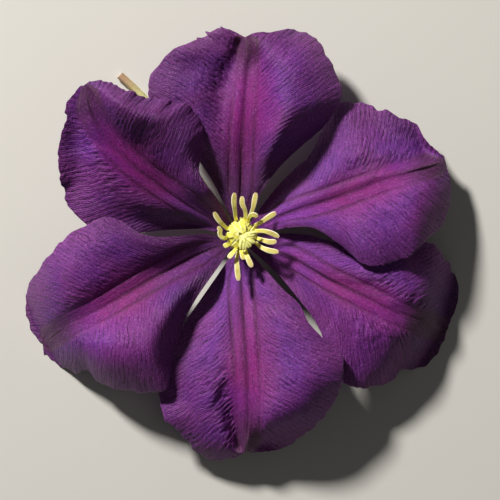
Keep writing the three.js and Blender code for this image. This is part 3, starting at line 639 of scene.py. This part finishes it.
def stamen_finish():
    """Yellow-green strips with cream edges where the pollen sacs run."""
    f = Finish("stamen_yellow")
    place = f.object_place()
    edge, reach = f.attribute("edge"), f.attribute("reach")
    middle = Vector((*(BOSS + FLOWER_AXIS), 14.0)) * MM
    away = f.node("ShaderNodeVectorMath", {"operation": "DISTANCE"}, i0=place, i1=middle)
    splayed = f.remap(away.outputs["Value"], 0.003, 0.0055)
    mottle = f.remap(f.noise(place, 900.0, 3.0), 0.3, 0.7)
    inner = f.mix(mottle, colour(240, 230, 88), colour(252, 246, 118))
    outer = f.mix(mottle, colour(206, 192, 104), colour(228, 214, 126))
    rim = f.mix(splayed, colour(255, 252, 170), colour(255, 248, 206))
    skin = f.mix(f.remap(edge, 0.35, 0.75), f.mix(splayed, inner, outer), rim)
    tip = f.times(f.remap(reach, 0.93, 1.0), splayed)
    skin = f.mix(f.times(tip, 0.6), skin, colour(226, 190, 160))
    skin = f.mix(f.remap(reach, 0.45, 0.0, 0.0, 0.7), skin, colour(246, 242, 92))
    f.set(Base_Color=skin, Roughness=0.5, Subsurface_Weight=0.4, Subsurface_Scale=0.0006,
          Subsurface_Radius=Vector((1.0, 1.0, 0.5)),
          Normal=f.bump(f.noise(place, 2200.0, 2.0), 0.00008, 0.6))
    return f.material


def style_finish():
    """Pale cream threads, greener at the root."""
    f = Finish("style_cream")
    place = f.object_place()
    rise = f.remap(f.attribute("reach"), 0.4, 0.9)
    skin = f.mix(rise, colour(250, 244, 100), colour(255, 252, 150))
    f.set(Base_Color=skin, Roughness=0.45, Subsurface_Weight=0.3, Subsurface_Scale=0.0003,
          Subsurface_Radius=Vector((1.0, 1.0, 0.6)),
          Normal=f.bump(f.noise(place, 2500.0, 2.0), 0.00006, 0.5))
    return f.material


def stalk_finish():
    """Yellow-green, browner towards the cut end, with small brown flecks."""
    f = Finish("stalk_green")
    place = f.object_place()
    patch = f.remap(f.noise(place, 160.0, 3.0), 0.35, 0.7)
    fleck = f.noise(place, 1500.0, 3.0)
    skin = f.mix(patch, colour(222, 216, 156), colour(198, 200, 128))
    skin = f.mix(f.remap(f.attribute("reach"), 0.18, 0.0), skin, colour(176, 140, 108))
    skin = f.mix(f.remap(fleck, 0.62, 0.75, 0.0, 0.5), skin, colour(120, 92, 74))
    f.set(Base_Color=skin, Roughness=0.6, Normal=f.bump(fleck, 0.0001, 0.6))
    return f.material


def down_finish():
    """Pale silky hairs."""
    f = Finish("down_silver")
    tone = f.noise(f.object_place(), 2000.0, 2.0)
    f.set(Base_Color=f.mix(tone, colour(206, 202, 168), colour(236, 234, 214)), Roughness=0.4)
    return f.material


def floor_finish():
    """Matt, very pale board."""
    f = Finish("pale_board")
    tone = f.noise(f.object_place(), 12.0, 4.0)
    f.set(Base_Color=f.mix(tone, colour(206, 204, 198), colour(214, 212, 206)), Roughness=0.8)
    return f.material


# --------------------------------------------------------------- swept pieces


class Tree(Graph):
    """A Geometry Nodes tree: geometry and named inputs in, a mesh piece out."""

    def __init__(self, name, inputs):
        super().__init__(bpy.data.node_groups.new(name, "GeometryNodeTree"))
        self.sockets = {}
        sockets = self.tree.interface
        sockets.new_socket("Geometry", in_out="OUTPUT", socket_type="NodeSocketGeometry")
        for label, kind in [("Geometry", "Geometry")] + inputs + [("Material", "Material")]:
            made = sockets.new_socket(label, in_out="INPUT", socket_type="NodeSocket" + kind)
            self.sockets[label] = made.identifier
        self.inputs = self.tree.nodes.new("NodeGroupInput").outputs

    def node(self, kind, settings=None, **inputs):
        return super().node("GeometryNode" + kind if "Node" not in kind else kind, settings, **inputs)

    def stored(self, geometry, name, value):
        """The geometry with a named value for each of its points."""
        made = self.node("StoreNamedAttribute", {"data_type": "FLOAT", "domain": "POINT"},
                         Geometry=geometry, Name=name, Value=value)
        return made.outputs["Geometry"]

    def finish(self, geometry):
        loose = self.node("RealizeInstances", Geometry=geometry).outputs["Geometry"]
        done = self.node("SetMaterial", Geometry=loose, Material=self.inputs["Material"])
        self.tree.links.new(done.outputs["Geometry"], self.tree.nodes.new("NodeGroupOutput").inputs[0])

    def apply(self, source, name, **values):
        """Runs the tree on an object, and returns the result as a plain mesh."""
        modifier = source.modifiers.new("shape", "NODES")
        modifier.node_group = self.tree
        for label, value in values.items():
            modifier[self.sockets[label.replace("_", " ")]] = value
        evaluated = bpy.context.evaluated_depsgraph_get()
        # Without the depsgraph, the mesh of a source that is a mesh comes out empty.
        mesh = bpy.data.meshes.new_from_object(
            source.evaluated_get(evaluated), preserve_all_data_layers=True, depsgraph=evaluated,
        )
        mesh.name = name
        source.modifiers.remove(modifier)
        return mesh


def sweep_tree():
    """Sweeps one section along every curve: an oval whose middle can be sunk
    into a channel and whose outline can be ribbed."""
    t = Tree("sweep_section", [
        ("Width", "Float"), ("Thickness", "Float"), ("Channel", "Float"),
        ("Ribs", "Float"), ("Rib Depth", "Float"), ("Sides", "Int"),
    ])
    given = t.inputs
    ring = t.node("CurvePrimitiveCircle", Resolution=given["Sides"], Radius=0.5).outputs["Curve"]
    place = t.node("InputPosition").outputs["Position"]
    xyz = t.node("ShaderNodeSeparateXYZ", Vector=place).outputs
    angle = t.math("ARCTAN2", xyz["Y"], xyz["X"])
    rib = t.math("COSINE", t.times(angle, given["Ribs"]))
    swell = t.plus(1.0, t.times(rib, given["Rib Depth"]))
    edge = t.times(xyz["X"], xyz["X"], 4.0)
    middle = t.math("SUBTRACT", 1.0, edge)
    sunk = t.math("SUBTRACT", 1.0, t.times(middle, given["Channel"]))
    section = t.node(
        "ShaderNodeCombineXYZ", X=t.times(xyz["X"], given["Width"], swell),
        Y=t.times(xyz["Y"], given["Thickness"], t.times(swell, sunk)),
    )
    ring = t.stored(ring, "edge", edge)
    ring = t.node("SetPosition", Geometry=ring, Position=section.outputs["Vector"])
    reach = t.node("SplineParameter").outputs["Factor"]
    swept = t.node(
        "CurveToMesh", Curve=t.stored(given["Geometry"], "reach", reach), Fill_Caps=True,
        Profile_Curve=ring.outputs["Geometry"], Scale=t.node("InputRadius").outputs["Radius"],
    )
    smooth = t.node("SetShadeSmooth", Geometry=swept.outputs["Mesh"])
    t.finish(smooth.outputs["Geometry"])
    return t


def down_tree():
    """Scatters short tapering hairs over a surface, standing out from it, but not
    so low that they would run into what the flower lies on."""
    t = Tree("scatter_down", [
        ("Density", "Float"), ("Length", "Float"), ("Radius", "Float"), ("Seed", "Int"),
    ])
    given = t.inputs
    seed = given["Seed"]
    place = t.node("InputPosition").outputs["Position"]
    height = t.node("ShaderNodeSeparateXYZ", Vector=place).outputs["Z"]
    clear = t.math("GREATER_THAN", height, t.times(given["Length"], DOWN_CLEARANCE))
    spots = t.node("DistributePointsOnFaces", Mesh=given["Geometry"], Selection=clear,
                   Density=given["Density"], Seed=seed).outputs
    hair = t.node("MeshCone", {"fill_type": "NONE"}, Vertices=3, Side_Segments=1, Radius_Top=0.0,
                  Radius_Bottom=given["Radius"], Depth=given["Length"])
    size = t.node("FunctionNodeRandomValue", {"data_type": "FLOAT"}, i2=0.5, i3=1.1, Seed=seed)
    lean = t.node("FunctionNodeRandomValue", {"data_type": "FLOAT_VECTOR"},
                  i0=(-0.5, -0.5, 0.0), i1=(0.5, 0.5, 0.0), Seed=seed)
    turn = t.node("FunctionNodeRotateRotation", {"rotation_space": "LOCAL"},
                  Rotation=spots["Rotation"], Rotate_By=lean.outputs[0])
    hairs = t.node("InstanceOnPoints", Points=spots["Points"], Instance=hair.outputs["Mesh"],
                   Rotation=turn.outputs["Rotation"], Scale=size.outputs[1])
    t.finish(hairs.outputs["Instances"])
    return t


def down_on(piece, name, finish, density, length, radius, seed):
    """Hairs over a finished piece: so many to each square millimetre."""
    bare = add_object("bare", piece.data)
    mesh = down_tree().apply(bare, name, Density=density / MM**2, Length=length * MM,
                             Radius=radius * MM, Seed=seed, Material=finish)
    bpy.data.objects.remove(bare)
    return add_piece(mesh)


def curves_object(routes):
    """A curve object with one spline for each route of (x, y, z, scale) points."""
    data = bpy.data.curves.new("routes", "CURVE")
    data.dimensions = "3D"
    for route in routes:
        spline = data.splines.new("POLY")
        spline.points.add(len(route) - 1)
        for point, (x, y, z, scale) in zip(spline.points, route):
            point.co = (x * MM, y * MM, z * MM, 1.0)
            point.radius = scale
    return add_object("routes", data)


def sweep(routes, name, finish, width, thickness, sides, channel=0.0, ribs=0.0, rib_depth=0.0):
    """One piece with the section swept along every route."""
    source = curves_object(routes)
    mesh = SWEEP.apply(
        source, name, Width=width * MM, Thickness=thickness * MM, Channel=channel,
        Ribs=ribs, Rib_Depth=rib_depth, Sides=sides, Material=finish,
    )
    bpy.data.objects.remove(source)
    return add_piece(mesh)


def turned(flat_route, direction, middle):
    """Takes (outward, aside, height, scale) points round the axis to a direction."""
    angle = math.radians(direction)
    out = np.array([math.cos(angle), math.sin(angle)])
    aside = np.array([-math.sin(angle), math.cos(angle)])
    route = []
    for outward, sideways, height, scale in flat_route:
        x, y = middle + out * outward + aside * sideways
        route.append((x, y, height, scale))
    return spaced_points(route, 15)


def splayed_route(rise, seen):
    """A splayed stamen: out of the boss, up, and over to its tip."""
    middle = BOSS + FLOWER_AXIS
    seen = spaced_points(seen, 9) + FLOWER_AXIS
    outward = np.linalg.norm(seen - middle, axis=1)
    reach = outward[-1]
    stops = [1.5, max(3.0, 0.4 * reach), max(3.5, 0.7 * reach), max(4.0, reach)]
    heights = np.interp(outward, stops, [BOSS_BASE + 1.6, rise - 1.9, rise - 0.4, rise])
    share = np.linspace(0, 1, 9)
    scales = np.interp(share, [0, 0.35, 0.6, 0.92, 1], [0.7, 0.85, 1.05, 1.0, 0.5])
    root = middle + (seen[0] - middle) * 1.4 / outward[0]
    route = [(*root, BOSS_BASE + 1.2, 0.7)]
    route += [(x, y, z, scale) for (x, y), z, scale in zip(seen, heights, scales)]
    return spaced_points(route, 20)


def inner_route(direction, root, widest, tip, rise):
    """An inner stamen: up beside the dome, then curved in over it."""
    top = rise + CHANCE.uniform(-0.45, 0.45)
    bend = CHANCE.uniform(-0.9, 0.9)
    out = CHANCE.uniform(-0.3, 0.3)
    inward = widest - tip
    flat = [
        (root, 0, BOSS_BASE + 1.4, 0.8), (widest + out, 0, top - 2.0, 0.95),
        (widest - 0.25 * inward + out, 0.3 * bend, top - 0.9, 1.1),
        (widest - 0.75 * inward + out, 0.8 * bend, top - 0.1, 1.1),
        (tip - 0.2 + out, 1.2 * bend, top, 0.6),
    ]
    return turned(flat, direction, BOSS + FLOWER_AXIS)


def stamen_routes():
    routes = [splayed_route(rise, seen) for rise, seen in SPLAYED]
    for ring, (count, *shape) in enumerate(INNER_RINGS):
        for k in range(count):
            direction = (k + 0.5 * ring + CHANCE.uniform(-0.25, 0.25)) * 360 / count
            routes.append(inner_route(direction, *shape))
    return routes


def style_routes():
    foot = BOSS + FLOWER_AXIS + STYLE_FOOT
    routes = []
    for k in range(STYLE_COUNT):
        turn = (k + 0.5 + CHANCE.uniform(-0.9, 0.9)) / STYLE_COUNT
        direction = math.radians(STYLE_FAN[0] + (STYLE_FAN[1] - STYLE_FAN[0]) * turn)
        reach = STYLE_REACH[k % 2] + CHANCE.uniform(-0.4, 0.4)
        out = np.array([math.cos(direction), math.sin(direction)])
        head = foot + out * reach
        top = STYLE_TOP - 0.05 * reach**2 - 0.3 * (k % 2) + CHANCE.uniform(-0.25, 0.25)
        curl = head + 0.35 * out + CHANCE.uniform(-0.2, 0.2, 2)
        start = foot + 0.2 * out
        points = [
            (*start, BOSS_BASE + 0.3, 0.9), (*start, STYLE_BEND, 0.9),
            (*(0.6 * foot + 0.4 * head), top - 0.15, 0.95), (*head, top, 1.0),
            (*curl, top - 0.1, 0.55),
        ]
        routes.append(spaced_points(points, 14))
    return routes


def boss_core(finish):
    """The low dome that the stamens spring from, ribbed where they crowd on it."""
    profile = spaced_points([
        (0.3, BOSS_BASE), (BOSS_RADIUS, BOSS_BASE), (BOSS_RADIUS + 0.25, BOSS_BASE + 1.2),
        (BOSS_RADIUS + 0.2, DOME_SHOULDER), (BOSS_RADIUS - 0.5, DOME_TOP - 0.5), (0.3, DOME_TOP),
    ], CORE_RINGS)
    angle = np.linspace(0, 2 * math.pi, CORE_TURNS, endpoint=False)[:, None]
    r, z = profile[:, 0][None, :], profile[:, 1][None, :]
    rib = np.abs(np.sin(0.5 * DOME_RIBS * angle + 1.2 * smooth_noise(4 * angle, 0.4 * z, 31)))
    lumpy = smooth_noise(r * np.cos(angle) / 0.7, r * np.sin(angle) / 0.7 + z, 32)
    r = r + smoothstep(0.4, 1.6, r) * (DOME_RIB_DEPTH * (rib - 0.6) + 0.1 * lumpy)
    x, y = BOSS + FLOWER_AXIS
    points = np.dstack([x + r * np.cos(angle), y + r * np.sin(angle), z + 0 * angle])

    here = np.arange(CORE_TURNS * CORE_RINGS).reshape(CORE_TURNS, CORE_RINGS)
    after = np.roll(here, -1, 0)
    wall = np.stack([here[:, :-1], after[:, :-1], after[:, 1:], here[:, 1:]], axis=2)
    caps = [here[::-1, 0].tolist(), here[:, -1].tolist()]
    mesh = bpy.data.meshes.new("stamen_core")
    mesh.from_pydata((points.reshape(-1, 3) * MM).tolist(), [], wall.reshape(-1, 4).tolist() + caps)
    store_values(mesh, "edge", (0.75 * rib + 0 * r).ravel())
    store_values(mesh, "reach", np.full(here.size, 0.35))
    mesh.shade_smooth()
    mesh.materials.append(finish)
    return add_piece(mesh)


# ------------------------------------------------------- stage, lights, camera


def make_floor():
    mesh = bpy.data.meshes.new("floor")
    corners = [(x * FLOOR_HALF, y * FLOOR_HALF, 0) for x, y in ((-1, -1), (1, -1), (1, 1), (-1, 1))]
    mesh.from_pydata(corners, [], [(0, 1, 2, 3)])
    mesh.materials.append(floor_finish())
    floor = add_object("floor", mesh)


def area_light(name, toward, distance, size, power, tint):
    """A round lamp in a direction from the flower, facing it."""
    light = bpy.data.lights.new(name, "AREA")
    light.shape = "DISK"
    light.size = size
    light.energy = power
    light.color = tint
    lamp = add_object(name, light)
    direction = Vector(toward).normalized()
    lamp.location = direction * distance
    lamp.rotation_euler = direction.to_track_quat("Z", "Y").to_euler()


def make_lights():
    area_light("key", **KEY_LIGHT)
    area_light("overhead_fill", **FILL_LIGHT)
    world = bpy.data.worlds.new("studio")
    world.use_nodes = True
    sky = world.node_tree.nodes["Background"].inputs
    sky["Color"].default_value = SKY_TINT
    sky["Strength"].default_value = SKY_STRENGTH
    bpy.context.scene.world = world
    bpy.context.scene.view_settings.view_transform = "Standard"


def make_camera():
    """Straight above, and so far off that there is almost no perspective."""
    data = bpy.data.cameras.new("camera")
    data.sensor_width = SENSOR_WIDTH
    data.lens = SENSOR_WIDTH * CAMERA_DISTANCE / PICTURE_WIDTH
    camera = add_object("camera", data)
    x, y = (PICTURE_MIDDLE + FLOWER_AXIS) * MM
    camera.location = (x, y, CAMERA_LEVEL + CAMERA_DISTANCE)
    bpy.context.scene.camera = camera


# -------------------------------------------------------------------- assembly

violet = tepal_finish()
for number, tepal in enumerate(TEPALS):
    blade = make_tepal(tepal, 100 * (number + 1), violet)
    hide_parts(tepal["node"])

SWEEP = sweep_tree()
yellow = stamen_finish()
stamens = sweep(stamen_routes(), "stamen_strips", yellow, FILAMENT_WIDTH, FILAMENT_THICK,
                STAMEN_SIDES, channel=FILAMENT_CHANNEL)
core = boss_core(yellow)
styles = sweep(style_routes(), "styles", style_finish(), STYLE_WIDTH, STYLE_WIDTH, STYLE_SIDES)

stalk_points = [(x + FLOWER_AXIS[0], y + FLOWER_AXIS[1], z, r) for x, y, z, r in STALK_ROUTE]
stalk = sweep([spaced_points(stalk_points, 120)], "stalk", stalk_finish(), 2 * STALK_RADIUS,
              2 * STALK_RADIUS, STALK_SIDES, ribs=STALK_RIBS, rib_depth=STALK_RIB_DEPTH)
down = down_on(stalk, "stalk_down", down_finish(), DOWN_DENSITY, DOWN_LENGTH, DOWN_RADIUS, DOWN_SEED)

for piece, node, slot in (
    (down, "receptacle_and_stalk", "stalk"),
    (stamens, "stamens", "stamen"),
    (core, "stamens", "stamen"),
    (styles, "pistil", "style"),
    (stalk, "receptacle_and_stalk", "stalk"),
):
    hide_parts(node)

make_floor()
make_lights()
make_camera()
